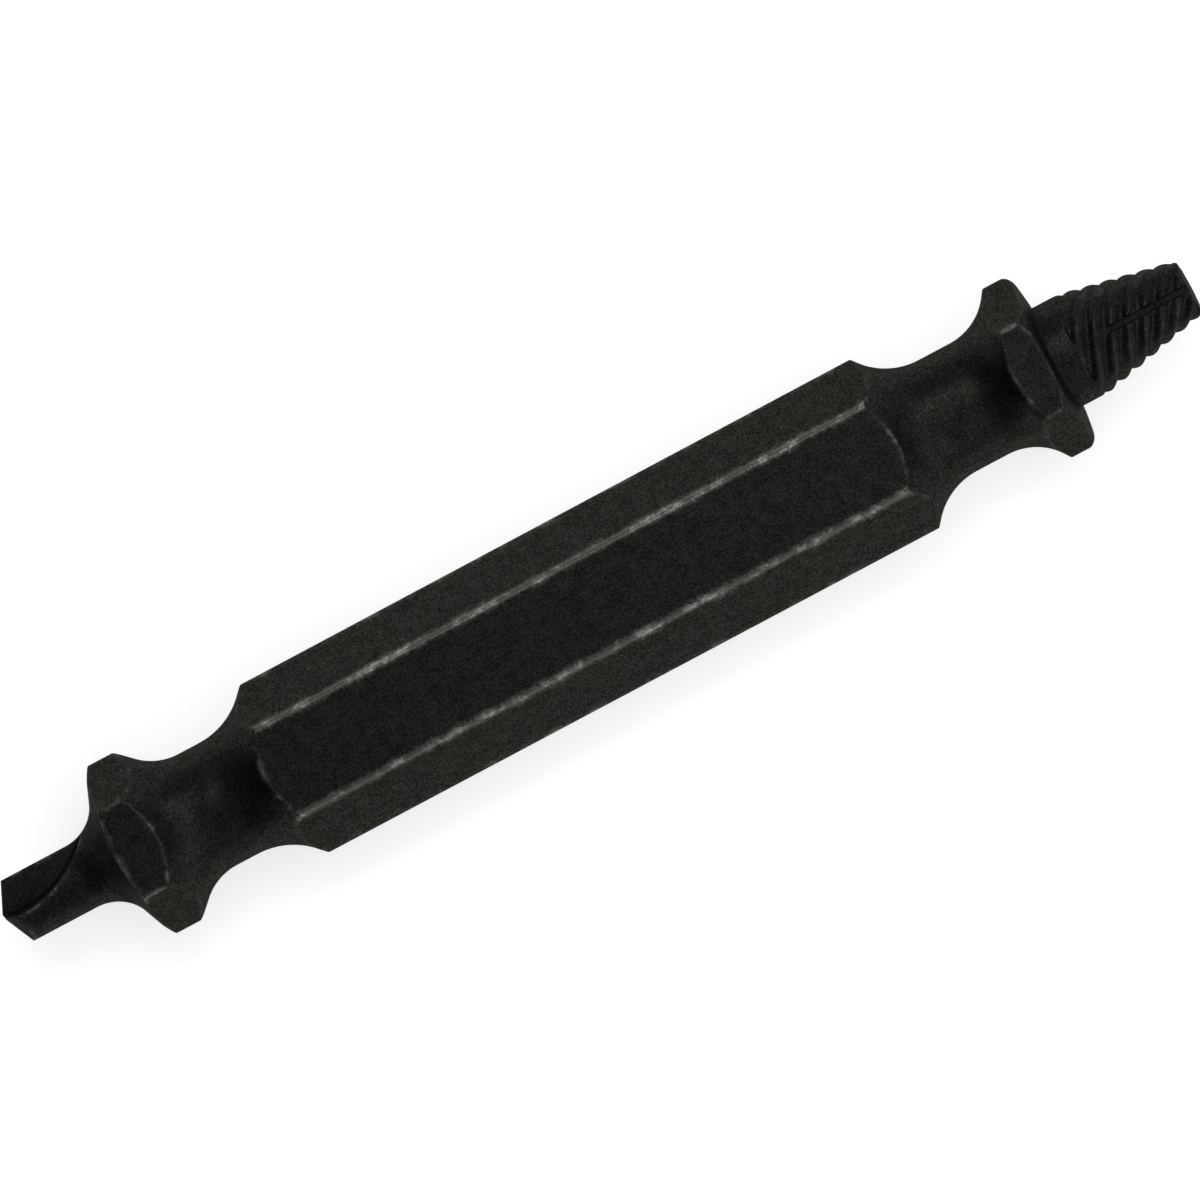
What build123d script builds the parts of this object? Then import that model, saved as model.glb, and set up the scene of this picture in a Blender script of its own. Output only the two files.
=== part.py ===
from build123d import *
import os
from math import cos, pi, radians, sin, sqrt, tan

# Double-ended screw extractor, made from one hexagonal steel bar. Millimetres and degrees.
# It lies on a flat of the bar, along X: the drill looks to -X and the tapered thread to +X.
# The origin is on the surface that it lies on, below the middle of its length.

# Hexagonal bar
bar_across_flats = 6.35
bar_edge_radius = 0.20

# Drill, which cuts while it turns to the left, as the thread does
drill_reach = 5.60  # from its point to the front corners of its collar
drill_diameter = 2.64
drill_point_angle = 130.0
drill_relief_angle = 20.0
drill_web = 0.30
drill_root_radius = 1.85  # blends the drill into the front of its collar

# Drill flutes, each the print of a grinding wheel that lifts out towards the collar
drill_flute_run = 0.78  # straight, behind the point
drill_flute_wheel_radius = 4.60
drill_flute_wall_angle = 10.5
drill_flute_corner_radius = 0.15

# Collar behind the drill
drill_collar_width = 1.10  # along its corners
drill_collar_front_angle = 66.5  # from the axis
drill_collar_back_angle = 43.4
drill_collar_back_radius = 2.35

# Neck between the drill's collar and the shank
drill_neck_length = 5.59  # from corner to corner
drill_neck_diameter = 4.82
drill_shoulder_radius = 3.05

# Shank that the driver holds
shank_length = 26.60

# Neck between the shank and the thread's collar
thread_neck_length = 5.72
thread_neck_diameter = 4.78
thread_shoulder_radius = 2.75
thread_collar_back_radius = 2.35

# Collar at the foot of the thread
thread_collar_width = 1.15
thread_collar_rounding = 0.42
thread_foot_fillet = 0.20

# Tapered thread, left-hand, with several starts
thread_land_length = 1.01  # plain, between the collar and the grooves
thread_land_recess = 0.08  # below the crests where the grooves begin
thread_length = 4.85
thread_tip_diameter = 2.30
thread_tip_chamfer = 0.12
thread_half_angle = 12.0
thread_starts = 7
thread_lead = 4.92
thread_start_turn = -11.0  # of the first groove, from the top of the bar
thread_depth = 0.20
thread_crest_width = 0.20

# Narrow flutes along the thread
thread_flutes = 3
thread_flute_width = 0.30
thread_flute_depth = 0.26  # below the crests
thread_flute_length = 2.40  # from the end face to where its wheel lifts out
thread_flute_wheel_radius = 2.00

# Worked out from the sizes above
hex_apothem = bar_across_flats / 2
hex_corner = hex_apothem / cos(pi / 6)
corner_radius = hex_corner - bar_edge_radius * (1 / cos(pi / 6) - 1)
drill_radius = drill_diameter / 2
drill_neck_radius = drill_neck_diameter / 2
thread_neck_radius = thread_neck_diameter / 2
thread_taper = tan(radians(thread_half_angle))
thread_tip_radius = thread_tip_diameter / 2
thread_foot_radius = thread_tip_radius + thread_taper * thread_length
thread_land_radius = thread_foot_radius - thread_land_recess

# How far the cutters reach from the axis, and how far they run past an end of the bar
cutter_reach = hex_corner + max(
    drill_shoulder_radius, thread_shoulder_radius, thread_collar_back_radius
)
cutter_overrun = bar_across_flats / 2

# Stations along the axis
total_length = (
    drill_reach
    + drill_collar_width
    + drill_neck_length
    + shank_length
    + thread_neck_length
    + thread_collar_width
    + thread_land_length
    + thread_length
)
x_point = -total_length / 2
x_drill_collar = x_point + drill_reach
x_drill_neck = x_drill_collar + drill_collar_width
x_shank = x_drill_neck + drill_neck_length
x_thread_neck = x_shank + shank_length
x_thread_collar = x_thread_neck + thread_neck_length
x_thread_face = x_thread_collar + thread_collar_width
x_thread = x_thread_face + thread_land_length
x_tip = x_thread + thread_length

# The bar's axis, and the upright plane through it that the turned profiles are drawn in
bar_centre = Vector(0, 0, hex_apothem)
bar_axis = Axis(bar_centre, (1, 0, 0))
profile_plane = Plane(origin=bar_centre, x_dir=(1, 0, 0), z_dir=(0, -1, 0))


def around_bar(count, first_turn=0.0):
    """Places evenly spaced around the bar's axis, for a cutter that is drawn where it stands."""
    to_axis = Location(bar_centre)
    angles = [first_turn + 360.0 * index / count for index in range(count)]
    return [to_axis * Location((0, 0, 0), (angle, 0, 0)) * to_axis.inverse() for angle in angles]


def cone_run(rise, angle):
    """Length along the axis in which a cone, at this angle to the axis, climbs by rise."""
    return rise / tan(radians(angle))


def arc_run(floor_radius, arc_radius):
    """Length along the axis in which an arc climbs from a neck's floor to the bar's corners."""
    return sqrt(arc_radius**2 - (floor_radius + arc_radius - corner_radius) ** 2)


# Turning of the drill's blank, up to the cone in front of its collar
with BuildSketch(profile_plane) as drill_turning:
    with BuildLine():
        start = x_point - cutter_overrun
        foot = x_drill_collar - cone_run(corner_radius - drill_radius, drill_collar_front_angle)
        rim = x_drill_collar + cone_run(cutter_reach - corner_radius, drill_collar_front_angle)
        FilletPolyline(
            (start, drill_radius),
            (foot, drill_radius),
            (rim, cutter_reach),
            radius=drill_root_radius,
        )
        Polyline((rim, cutter_reach), (start, cutter_reach), (start, drill_radius))
    make_face()

# Turning of the neck behind the drill: a cone at the collar, an arc at the shank
with BuildSketch(profile_plane) as drill_neck_turning:
    with BuildLine():
        foot = x_drill_neck + cone_run(corner_radius - drill_neck_radius, drill_collar_back_angle)
        rim = x_drill_neck - cone_run(cutter_reach - corner_radius, drill_collar_back_angle)
        wall = x_shank - arc_run(drill_neck_radius, drill_shoulder_radius) + drill_shoulder_radius
        FilletPolyline(
            (rim, cutter_reach),
            (foot, drill_neck_radius),
            (wall, drill_neck_radius),
            (wall, cutter_reach),
            radius=[drill_collar_back_radius, drill_shoulder_radius],
        )
        Line((wall, cutter_reach), (rim, cutter_reach))
    make_face()

# Turning of the neck before the thread: an arc at each end
with BuildSketch(profile_plane) as thread_neck_turning:
    with BuildLine():
        shank_arc = arc_run(thread_neck_radius, thread_shoulder_radius)
        collar_arc = arc_run(thread_neck_radius, thread_collar_back_radius)
        near_wall = x_thread_neck + shank_arc - thread_shoulder_radius
        far_wall = x_thread_collar - collar_arc + thread_collar_back_radius
        FilletPolyline(
            (near_wall, cutter_reach),
            (near_wall, thread_neck_radius),
            (far_wall, thread_neck_radius),
            (far_wall, cutter_reach),
            radius=[thread_shoulder_radius, thread_collar_back_radius],
        )
        Line((far_wall, cutter_reach), (near_wall, cutter_reach))
    make_face()

# Turning of the thread's blank: rounded collar, its face, the land, the cone and the end face
with BuildSketch(profile_plane) as thread_turning:
    with BuildLine():
        start = x_thread_face - thread_collar_width / 2
        end = x_tip + cutter_overrun
        cone_start = x_thread + cone_run(thread_land_recess, thread_half_angle)
        FilletPolyline(
            (start, hex_corner),
            (x_thread_face, hex_corner),
            (x_thread_face, thread_land_radius),
            (cone_start, thread_land_radius),
            (x_tip - thread_tip_chamfer, thread_tip_radius + thread_taper * thread_tip_chamfer),
            (x_tip, thread_tip_radius - thread_tip_chamfer),
            (x_tip, 0),
            radius=[thread_collar_rounding, thread_foot_fillet, 0, 0, 0],
        )
        Polyline(
            (x_tip, 0),
            (end, 0),
            (end, cutter_reach),
            (start, cutter_reach),
            (start, hex_corner),
        )
    make_face()

# Grinding of one flank of the point: it holds the upper lip and falls away behind it
with BuildPart() as drill_flank:
    lip_angle = radians(drill_point_angle / 2)
    relief_angle = radians(drill_relief_angle)
    lip_direction = Vector(cos(lip_angle), sin(lip_angle), 0)
    relief_direction = Vector(sin(relief_angle), 0, -cos(relief_angle))
    chisel_setback = drill_web / 2 * tan(relief_angle)
    lip_foot = bar_centre + Vector(x_point - chisel_setback, 0, drill_web / 2)
    flank_plane = Plane(
        origin=lip_foot,
        x_dir=lip_direction,
        z_dir=lip_direction.cross(relief_direction),
    )
    with BuildSketch(flank_plane):
        Circle(drill_diameter)
    extrude(amount=drill_diameter)

# Grinding of one flute: the wheel's side leaves the cutting face, its rim the sloping wall
with BuildPart() as drill_flute:
    with BuildSketch(Plane.XY.offset(hex_apothem + drill_web / 2)):
        with BuildLine():
            start = x_point - cutter_overrun
            lift = x_point + drill_flute_run
            end = lift + drill_flute_wheel_radius
            Line((start, 0), (lift, 0))
            TangentArc((lift, 0), (end, drill_flute_wheel_radius), tangent=(1, 0))
            Polyline(
                (end, drill_flute_wheel_radius),
                (end, cutter_reach),
                (start, cutter_reach),
                (start, 0),
            )
        make_face()
    extrude(amount=drill_diameter, taper=-drill_flute_wall_angle)
    wheel_side = drill_flute.faces().sort_by(Axis.Z)[0]
    wheel_rim = wheel_side.edges().group_by(Axis.Y)[0] + wheel_side.edges().filter_by(GeomType.CIRCLE)
    fillet(wheel_rim, drill_flute_corner_radius)

# V-shaped cutter of one thread groove, carried along the cone of the crests
with BuildPart() as thread_groove:
    with BuildLine():
        groove_path = Helix(
            pitch=thread_lead,
            height=thread_length,
            radius=thread_foot_radius,
            center=bar_centre + Vector(x_thread, 0, 0),
            direction=(1, 0, 0),
            cone_angle=-thread_half_angle,
            lefthand=True,
        )
    outward = (groove_path @ 0) - bar_centre - Vector(x_thread, 0, 0)
    with BuildSketch(Plane(origin=groove_path @ 0, x_dir=outward, z_dir=groove_path % 0)):
        with BuildLine():
            mouth = thread_lead / thread_starts - thread_crest_width
            Polyline(
                (-thread_depth, 0),
                (thread_depth, -mouth),  # the flanks run on as far above the crests
                (thread_depth, mouth),
                close=True,
            )
        make_face()
    sweep(path=groove_path, is_frenet=True)

# Thin wheel that cuts one flute along the thread, with its floor a little below the roots
with BuildPart() as thread_flute:
    with BuildSketch(profile_plane):
        with BuildLine():
            wall = x_tip - thread_flute_length - thread_flute_wheel_radius
            end = x_tip + cutter_overrun
            tip_floor = thread_tip_radius - thread_flute_depth
            wall_floor = tip_floor + thread_taper * (x_tip - wall)
            end_floor = tip_floor - thread_taper * (end - x_tip)
            FilletPolyline(
                (end, end_floor),
                (wall, wall_floor),
                (wall, cutter_reach),
                radius=thread_flute_wheel_radius,
            )
            Polyline((wall, cutter_reach), (end, cutter_reach), (end, end_floor))
        make_face()
    extrude(amount=thread_flute_width / 2, both=True)

# The whole tool: the bar is turned, then its point is ground and its thread cut
with BuildPart() as screw_extractor:
    with BuildSketch(Plane(origin=bar_centre + Vector(x_point, 0, 0), x_dir=(0, 1, 0), z_dir=(1, 0, 0))):
        RegularPolygon(radius=hex_apothem, side_count=6, major_radius=False)
        fillet(vertices(), bar_edge_radius)
    extrude(amount=total_length)
    for profile in (drill_turning, drill_neck_turning, thread_neck_turning, thread_turning):
        revolve(profile.sketch, axis=bar_axis, mode=Mode.SUBTRACT)
    with Locations(around_bar(2)):
        add(drill_flank.part, mode=Mode.SUBTRACT)
        add(drill_flute.part, mode=Mode.SUBTRACT)
    with Locations(around_bar(thread_starts, thread_start_turn)):
        add(thread_groove.part, mode=Mode.SUBTRACT)
    with Locations(around_bar(thread_flutes)):
        add(thread_flute.part, mode=Mode.SUBTRACT)

os.makedirs("parts", exist_ok=True)
screw_extractor.part.label = "screw_extractor"
export_step(screw_extractor.part, "parts/screw_extractor.step")
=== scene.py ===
"""Double-ended screw extractor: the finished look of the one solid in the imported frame.

The tool is one closed surface, worked out with numpy in millimetres about the bar's own axis:
x runs along the bar from the drill to the tapered thread, r is the distance from the axis, and
phi is the angle round it, from +Y towards +Z. It is handed to Blender in metres, with the axis
half the width across flats above the floor, as the CAD has it.
"""

import logging
from dataclasses import dataclass, field, fields
from enum import Enum

import bmesh
import bpy
import numpy as np
from mathutils import Matrix, Vector


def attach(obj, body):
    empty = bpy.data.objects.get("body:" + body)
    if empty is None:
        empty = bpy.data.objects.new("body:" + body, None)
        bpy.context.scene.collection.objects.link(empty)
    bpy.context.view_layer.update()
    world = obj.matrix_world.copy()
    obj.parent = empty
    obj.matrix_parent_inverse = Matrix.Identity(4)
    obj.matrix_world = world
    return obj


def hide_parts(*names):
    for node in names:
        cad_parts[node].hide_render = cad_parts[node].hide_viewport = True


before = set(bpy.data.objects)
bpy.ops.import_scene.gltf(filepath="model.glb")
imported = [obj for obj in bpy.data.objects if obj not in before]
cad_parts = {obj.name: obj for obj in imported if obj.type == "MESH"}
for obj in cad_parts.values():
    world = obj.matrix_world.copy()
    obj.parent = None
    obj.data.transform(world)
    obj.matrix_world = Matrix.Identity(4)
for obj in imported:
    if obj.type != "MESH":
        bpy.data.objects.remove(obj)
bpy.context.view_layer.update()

log = logging.getLogger("screw_extractor")

METRES = 0.001  # one millimetre
FAR = 5.0  # millimetres: further from an edge than any wear reaches
RUN_ON = 1.0  # millimetres that a lathe path runs on past the bar's corners
ARC_POINTS = 120  # points along each arc of a path
Array = np.ndarray
Socket = bpy.types.NodeSocket


def soft_min(first: Array, second: Array, rounding: float) -> Array:
    """Lower of two heights, with the corner where they cross rounded off.

    The formula is half of: the sum, less the square root of the squared difference plus the
    squared rounding.

    Args:
        first: Heights of one surface.
        second: Heights of the other.
        rounding: Width of the rounded corner, in the unit of the heights.

    Returns:
        The rounded lower height.
    """
    return 0.5 * (first + second - np.sqrt((first - second) ** 2 + rounding**2))


def smooth_step(share: Array) -> Array:
    """Eased share: three times its square less twice its cube, held between 0 and 1."""
    held = np.clip(share, 0.0, 1.0)
    return held * held * (3.0 - 2.0 * held)


def blend(first: Array, second: Array, share: Array) -> Array:
    """Straight mix of two values: the first at share 0, the second at share 1."""
    return first + (second - first) * share


def quadratic(start: Array, bend: Array, end: Array, t: Array) -> Array:
    """Quadratic curve: the start times (1-t) squared, the bend times 2t(1-t), the end times t squared."""
    return (1 - t) ** 2 * start + 2 * t * (1 - t) * bend + t**2 * end


def spread(count: int) -> Array:
    """Even steps from 0 to 1, that many values in all."""
    return np.linspace(0, 1, count)


def in_scene(name: str, data: bpy.types.ID) -> bpy.types.Object:
    """Makes an object and links it into the scene."""
    made = bpy.data.objects.new(name, data)
    bpy.context.scene.collection.objects.link(made)
    return made


@dataclass(frozen=True)
class TurnedPath:
    """Line of straight runs and arcs that a lathe tool follows, from a floor out to a rim."""

    x: Array
    r: Array
    # Painted shade: places on the turned surface whose colour is darkened where shade falls.
    shades: tuple = ()  # dark places, each as its middle (x, r), its reach (x, r) and its depth

    @classmethod
    def through(cls, corners: list, radii: list, shades: tuple = ()) -> "TurnedPath":
        """Runs straight from corner to corner and rounds the inner corners.

        Each arc touches both runs at the distance radius times the tangent of half the turn from
        the corner, and its points divide the turn evenly.

        Args:
            corners: Points (x, r) in order.
            radii: Radius at each inner corner, 0 for a sharp one.
            shades: Its dark places.

        Returns:
            The path.
        """
        points = [np.array(corners[0], float)[None]]
        for before, here, after, radius in zip(corners, corners[1:], corners[2:], radii):
            here = np.array(here, float)
            into = here - np.array(before, float)
            out = np.array(after, float) - here
            into /= np.linalg.norm(into)
            out /= np.linalg.norm(out)
            if radius == 0:
                points.append(here[None])
                continue
            turn = np.arccos(np.clip(into @ out, -1, 1))
            side = np.sign(into[0] * out[1] - into[1] * out[0])
            normal = side * np.array([-into[1], into[0]])
            touch = here - into * radius * np.tan(turn / 2)
            swept = np.linspace(0, turn, ARC_POINTS)[:, None]
            points.append(touch + radius * (np.sin(swept) * into + (1 - np.cos(swept)) * normal))
        points.append(np.array(corners[-1], float)[None])
        line = np.concatenate(points)
        return cls(line[:, 0], line[:, 1], shades)

    @property
    def run(self) -> Array:
        """Length along the path up to each of its points."""
        steps = np.hypot(np.diff(self.x), np.diff(self.r))
        return np.concatenate([[0.0], np.cumsum(steps)])

    def at(self, run: Array) -> tuple:
        """Place (x, r) at a length along the path."""
        return np.interp(run, self.run, self.x), np.interp(run, self.run, self.r)

    def reaching(self, radius: Array) -> Array:
        """Length along the path at which it has climbed to a radius."""
        climb = np.maximum.accumulate(self.r + 1e-9 * np.arange(self.r.size))
        return np.interp(radius, climb, self.run)

    def shade(self, x: Array, r: Array) -> Array:
        """Painted shade at the path's dark places: each falls off as a bell curve from its middle."""
        dark = np.zeros_like(x)
        for x_dark, r_dark, reach_x, reach_r, depth in self.shades:
            away = ((x - x_dark) / reach_x) ** 2 + ((r - r_dark) / reach_r) ** 2
            dark = np.maximum(dark, depth * np.exp(-away))
        return dark


@dataclass
class Strip:
    """Rows of points on the tool's surface, each row once round the bar or part of the way."""

    x: Array
    r: Array
    phi: Array
    edge_gap: Array
    turned: Array
    rub: Array
    # Painted shade: how far the colour is darkened where shade falls, from 0 to 1.
    painted_shade: Array

    @classmethod
    def of(
        cls, x: Array, r: Array, phi: Array, gap: Array, turned: float, rub: Array, painted_shade: Array = 0.0
    ) -> "Strip":
        """Strip from arrays that are stretched to one shape.

        Args:
            x: Places along the bar.
            r: Distances from its axis.
            phi: Angles round it, in radians.
            gap: Distances to the nearest edge.
            turned: 1 where a lathe tool passed, 0 on the bar's own flats.
            rub: How far the nearest edge is worn, from 0 to 1.
            painted_shade: Painted shade, darkening the colour in grooves, corners and end faces, from 0 to
                1.
        """
        shape = np.broadcast_shapes(np.shape(x), np.shape(r), np.shape(phi), np.shape(gap))
        given = (x, r, phi, gap, turned, rub, painted_shade)
        parts = [np.broadcast_to(part, shape).astype(float) for part in given]
        return cls(*parts)

    def flipped(self) -> "Strip":
        """The same rows in the other order."""
        return Strip(*(getattr(self, part.name)[::-1] for part in fields(self)))

    @staticmethod
    def joined(strips: list) -> "Strip":
        """One strip from several that follow each other, each shared row kept once."""
        names = [part.name for part in fields(Strip)]
        kept = [strips[0]] + [Strip(*(getattr(s, n)[1:] for n in names)) for s in strips[1:]]
        return Strip(*(np.concatenate([getattr(s, n) for s in kept]) for n in names))

    def points(self) -> Array:
        """Places (x, y, z) about the axis: y is r times the cosine of phi, z r times its sine."""
        return np.stack([self.x, self.r * np.cos(self.phi), self.r * np.sin(self.phi)], axis=-1)


class Surface:
    """Closed surface gathered from grids of points that share their edges."""

    def __init__(self) -> None:
        """Starts with nothing."""
        self.points: list = []
        self.quads: list = []
        self.values: dict = {"edge_gap": [], "turned": [], "rub": [], "painted_shade": []}
        self.count = 0

    def add_grid(self, points: Array, marks: dict, closed: bool, flip: bool = False) -> None:
        """Adds one grid, with a face between each four neighbours.

        Args:
            points: Places, as rows by columns by 3, in millimetres about the axis.
            marks: Values for the finish at each place, by name.
            closed: Whether the last column joins the first.
            flip: Whether the faces look the other way.
        """
        rows, columns = points.shape[:2]
        index = self.count + np.arange(rows * columns).reshape(rows, columns)
        ring = np.concatenate([index, index[:, :1]], axis=1) if closed else index
        corners = [ring[:-1, :-1], ring[:-1, 1:], ring[1:, 1:], ring[1:, :-1]]
        if flip:
            corners = corners[::-1]
        self.quads.append(np.stack(corners, axis=-1).reshape(-1, 4))
        self.points.append(points.reshape(-1, 3))
        for label, parts in self.values.items():
            parts.append(np.broadcast_to(marks.get(label, 0.0), (rows, columns)).reshape(-1))
        self.count += rows * columns

    def add_strip(self, strip: Strip, closed: bool) -> None:
        """Adds a strip's rows."""
        marks = {label: getattr(strip, label) for label in self.values}
        self.add_grid(strip.points(), marks, closed)

    def add_half(self, places: tuple, turn: float, marks: dict, flip: bool = False) -> None:
        """Adds an open grid from its x, y and z, as it is or turned half way round the axis."""
        x, y, z = places
        self.add_grid(np.stack([x, turn * y, turn * z], axis=-1), marks, closed=False, flip=flip)

    def to_object(self, name: str, height: float, weld: float, crease_angle: float) -> bpy.types.Object:
        """Makes the Blender object, with shared edges welded and creases left sharp.

        Args:
            name: Name of the piece.
            height: Height of the axis above the floor, in millimetres.
            weld: Points nearer than this, in millimetres, become one.
            crease_angle: Faces that meet at more than this, in radians, keep a sharp edge.

        Returns:
            The object, at the origin, in metres.
        """
        points = np.concatenate(self.points) + np.array([0.0, 0.0, height])
        quads = np.concatenate(self.quads)
        mesh = bpy.data.meshes.new(name)
        mesh.vertices.add(len(points))
        mesh.vertices.foreach_set("co", (points * METRES).astype(np.float32).ravel())
        mesh.loops.add(quads.size)
        mesh.loops.foreach_set("vertex_index", quads.astype(np.int32).ravel())
        mesh.polygons.add(len(quads))
        mesh.polygons.foreach_set("loop_start", np.arange(0, quads.size, 4, dtype=np.int32))
        mesh.update(calc_edges=True)
        for label, parts in self.values.items():
            layer = mesh.attributes.new(label, "FLOAT", "POINT")
            layer.data.foreach_set("value", np.concatenate(parts).astype(np.float32))
        work = bmesh.new()
        work.from_mesh(mesh)
        bmesh.ops.remove_doubles(work, verts=work.verts, dist=weld * METRES)
        bmesh.ops.dissolve_degenerate(work, edges=work.edges, dist=weld * METRES / 10)
        bmesh.ops.recalc_face_normals(work, faces=work.faces)
        loose = sum(not edge.is_manifold for edge in work.edges)
        work.to_mesh(mesh)
        work.free()
        mesh.polygons.foreach_set("use_smooth", np.ones(len(mesh.polygons), dtype=bool))
        mesh.set_sharp_from_angle(angle=crease_angle)
        mesh.update()
        log.info("%s: %d faces, %d open edges", name, len(mesh.polygons), loose)
        return in_scene(name, mesh)


@dataclass(frozen=True)
class HexBar:
    """Hexagonal bar that the tool is turned from, with its six long edges worn round."""

    across_flats: float = 6.35
    edge_radius: float = 0.20
    half_sector_steps: int = 20
    crowding: float = 3.2
    crease_reach: float = 0.07
    crease_rows: int = 7
    side_wear: float = 0.5  # edges are worn this much less steeply on the flats beside them

    @property
    def apothem(self) -> float:
        """Distance from the axis to a flat."""
        return self.across_flats / 2

    @property
    def edge_centre(self) -> float:
        """Distance from the axis to the centre of a long edge's rounding."""
        return (self.apothem - self.edge_radius) / np.cos(np.pi / 6)

    @property
    def corner_radius(self) -> float:
        """Distance from the axis to the top of a rounded edge."""
        return self.edge_centre + self.edge_radius

    def off_edge(self, phi: Array) -> Array:
        """Angle to the nearest long edge, from -30 to 30 degrees."""
        sector = np.pi / 3
        return (phi + sector / 2) % sector - sector / 2

    def radius_at(self, phi: Array) -> Array:
        """Distance from the axis to the bar's surface.

        On a flat it is the apothem over the cosine of the angle from the flat's middle. On a
        rounded edge it is the far crossing of a ray with the rounding's circle.
        """
        off = self.off_edge(phi)
        centre, rounding = self.edge_centre, self.edge_radius
        touch = np.arctan2(rounding / 2, centre + rounding * np.cos(np.pi / 6))
        flat = self.apothem / np.cos(np.pi / 6 - np.abs(off))
        inside = np.maximum(rounding**2 - (centre * np.sin(off)) ** 2, 0.0)
        edge = centre * np.cos(off) + np.sqrt(inside)
        return np.where(np.abs(off) < touch, edge, flat)

    @property
    def columns(self) -> Array:
        """Angles once round the bar, crowded at the long edges by a hyperbolic sine."""
        half = np.sinh(self.crowding * spread(self.half_sector_steps + 1))
        half *= np.pi / 6 / half[-1]
        sector = np.concatenate([half[:-1], (np.pi / 3 - half[::-1])[:-1]])
        return np.concatenate([sector + k * np.pi / 3 for k in range(6)])

    def edge_rub(self, phi: Array) -> Array:
        """Wear of the long edges: full on the four that border the flats it lies and slides on.

        It is a quarter, and the other three quarters times the size of the sine over that of 60
        degrees, held below 1.
        """
        return 0.25 + 0.75 * np.clip(np.abs(np.sin(phi)) / np.sin(np.pi / 3), 0, 1) ** 2

    def crease_rub(self, phi: Array, most: float) -> Array:
        """Wear of a turned crease round the bar: most on the flats it lies and slides on.

        It is three tenths of the most, and the other seven tenths times the sixth power of the
        sine.
        """
        return most * (0.3 + 0.7 * np.sin(phi) ** 6)

    def cone_path(
        self, start: float, floor: float, radius: float, angle: float, corner: float, out: float
    ) -> TurnedPath:
        """Lathe path along a floor, round an arc and up a cone to the bar's corners.

        Args:
            start: Where the path starts.
            floor: Radius of the floor.
            radius: Radius of the arc.
            angle: Slope of the cone, in degrees from the axis.
            corner: Where the cone reaches the bar's corners.
            out: Way along the bar in which it climbs: 1 or -1.
        """
        slope = np.tan(np.radians(angle))
        foot = corner - out * (self.corner_radius - floor) / slope
        rim = corner + out * RUN_ON
        corners = [(start, floor), (foot, floor), (rim, floor + out * (rim - foot) * slope)]
        return TurnedPath.through(corners, [radius])

    def flat(self, left: Array, right: Array, shares: tuple, rubs: tuple, handled: float) -> Strip:
        """Bar's own surface between two creases.

        Args:
            left: Where the rows start, for each column.
            right: Where they end.
            shares: Shares of the way from left to right.
            rubs: How far the left and the right crease are worn.
            handled: How wide and how far the long edges are worn, against those of the shank.
        """
        phi = self.columns
        along = blend(left, right, np.array(shares)[:, None])
        radius = self.radius_at(phi)
        to_edge = np.abs(radius * np.sin(self.off_edge(phi)))
        beside = np.abs(np.sin(phi)) < np.cos(np.pi / 6)
        to_edge = np.where(beside, self.side_wear, 1.0) * to_edge / handled
        to_left, to_right = along - left, right - along
        to_crease = np.minimum(to_left, to_right) + self.crease_reach
        crease_rub = self.crease_rub(phi, np.where(to_left < to_right, rubs[0], rubs[1]))
        rub = np.where(to_edge < to_crease, handled * self.edge_rub(phi), crease_rub)
        return Strip.of(along, radius, phi, np.minimum(to_edge, to_crease), 0.0, rub)

    def shoulder(
        self, path: TurnedPath, rows: int, out: float, rub: float, first: Array = None, settled: float = 1.0
    ) -> tuple:
        """Turned surface from a floor up to the bar's flats, and the worn crease at its rim.

        The crease is a quadratic curve in the plane of each column: it leaves the turned surface
        a little before the two meet, and lands on the flat as far beyond.

        Args:
            path: Path of the lathe tool, climbing from the floor.
            rows: Rows from the floor to the crease.
            out: Way along the bar in which the flat lies: 1 or -1.
            rub: How far the crease is worn.
            first: Angle of each column in the first row, or None where it is the bar's own.
            settled: Share of the rows over which such columns turn to the bar's own.

        Returns:
            The strip, and where the flat starts for each column.
        """
        rim, shares = self.columns, spread(rows)[:, None]
        phi = rim if first is None else blend(first, rim, smooth_step(shares / settled))
        radius = self.radius_at(rim)
        meet = path.reaching(radius)
        run = (meet - self.crease_reach) * shares
        x, r = path.at(run)
        worn = self.crease_rub(rim, rub)
        # The turned rows carry the path's painted shade.
        turned = Strip.of(x, r, phi, meet - run, 1.0, worn, path.shade(x, r))
        x_meet, _ = path.at(meet)
        t = spread(self.crease_rows)[:, None]
        x_flat = x_meet + out * self.crease_reach
        bend_x = quadratic(x[-1], x_meet, x_flat, t)
        bend_r = quadratic(r[-1], radius, radius, t)
        crease = Strip.of(bend_x, bend_r, rim, self.crease_reach * np.abs(2 * t - 1), 0.5, worn)
        return Strip.joined([turned, crease]), x_flat


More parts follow.
